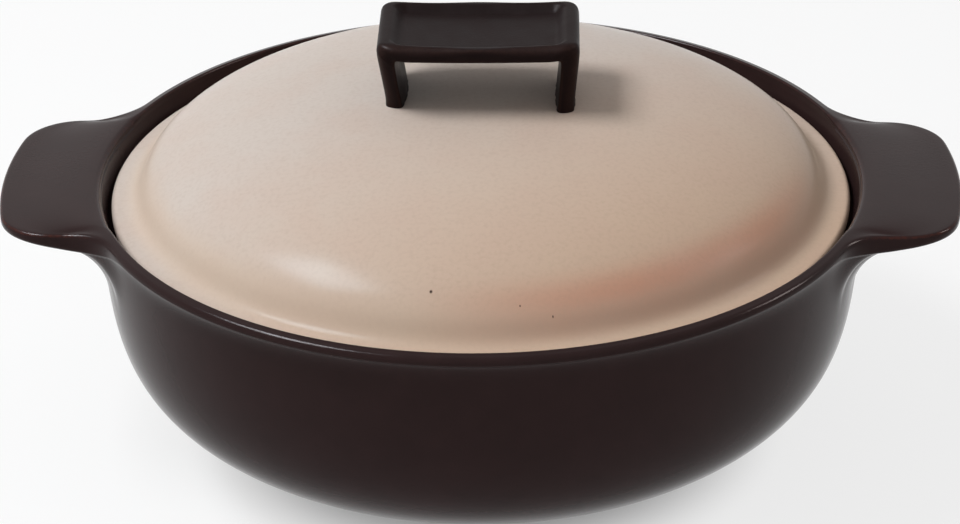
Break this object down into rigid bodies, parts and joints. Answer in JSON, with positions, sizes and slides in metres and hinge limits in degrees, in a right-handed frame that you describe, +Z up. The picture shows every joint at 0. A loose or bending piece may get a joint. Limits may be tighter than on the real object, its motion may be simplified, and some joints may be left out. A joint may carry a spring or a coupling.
{
  "type": "ceramic pan",
  "caption": "Round stoneware casserole pan with flat tab ears, a ledge inside the flared rim and a low domed lid lifted by a bridge handle.",
  "frame": {"origin": "middle of the foot, on the surface that the pan stands on", "axes": "+X along the ears towards the right ear, +Y away from the front, +Z up"},
  "size_m": [0.3162, 0.2584, 0.1478],
  "materials": {
    "dark_glaze": "satin",
    "beige_glaze": "satin",
    "handle_glaze": "matte"
  },
  "bodies": {
    "pan": {"pan_bowl": "dark_glaze", "left_ear": "dark_glaze", "right_ear": "dark_glaze"},
    "lid": {"lid_shell": "beige_glaze", "lid_handle": "handle_glaze"}
  },
  "joints": [
    {"name": "lid_lift", "type": "slide", "parent": "pan", "child": "lid", "axis": [0, 0, 1], "range_m": [0, 0.15]}
  ]
}
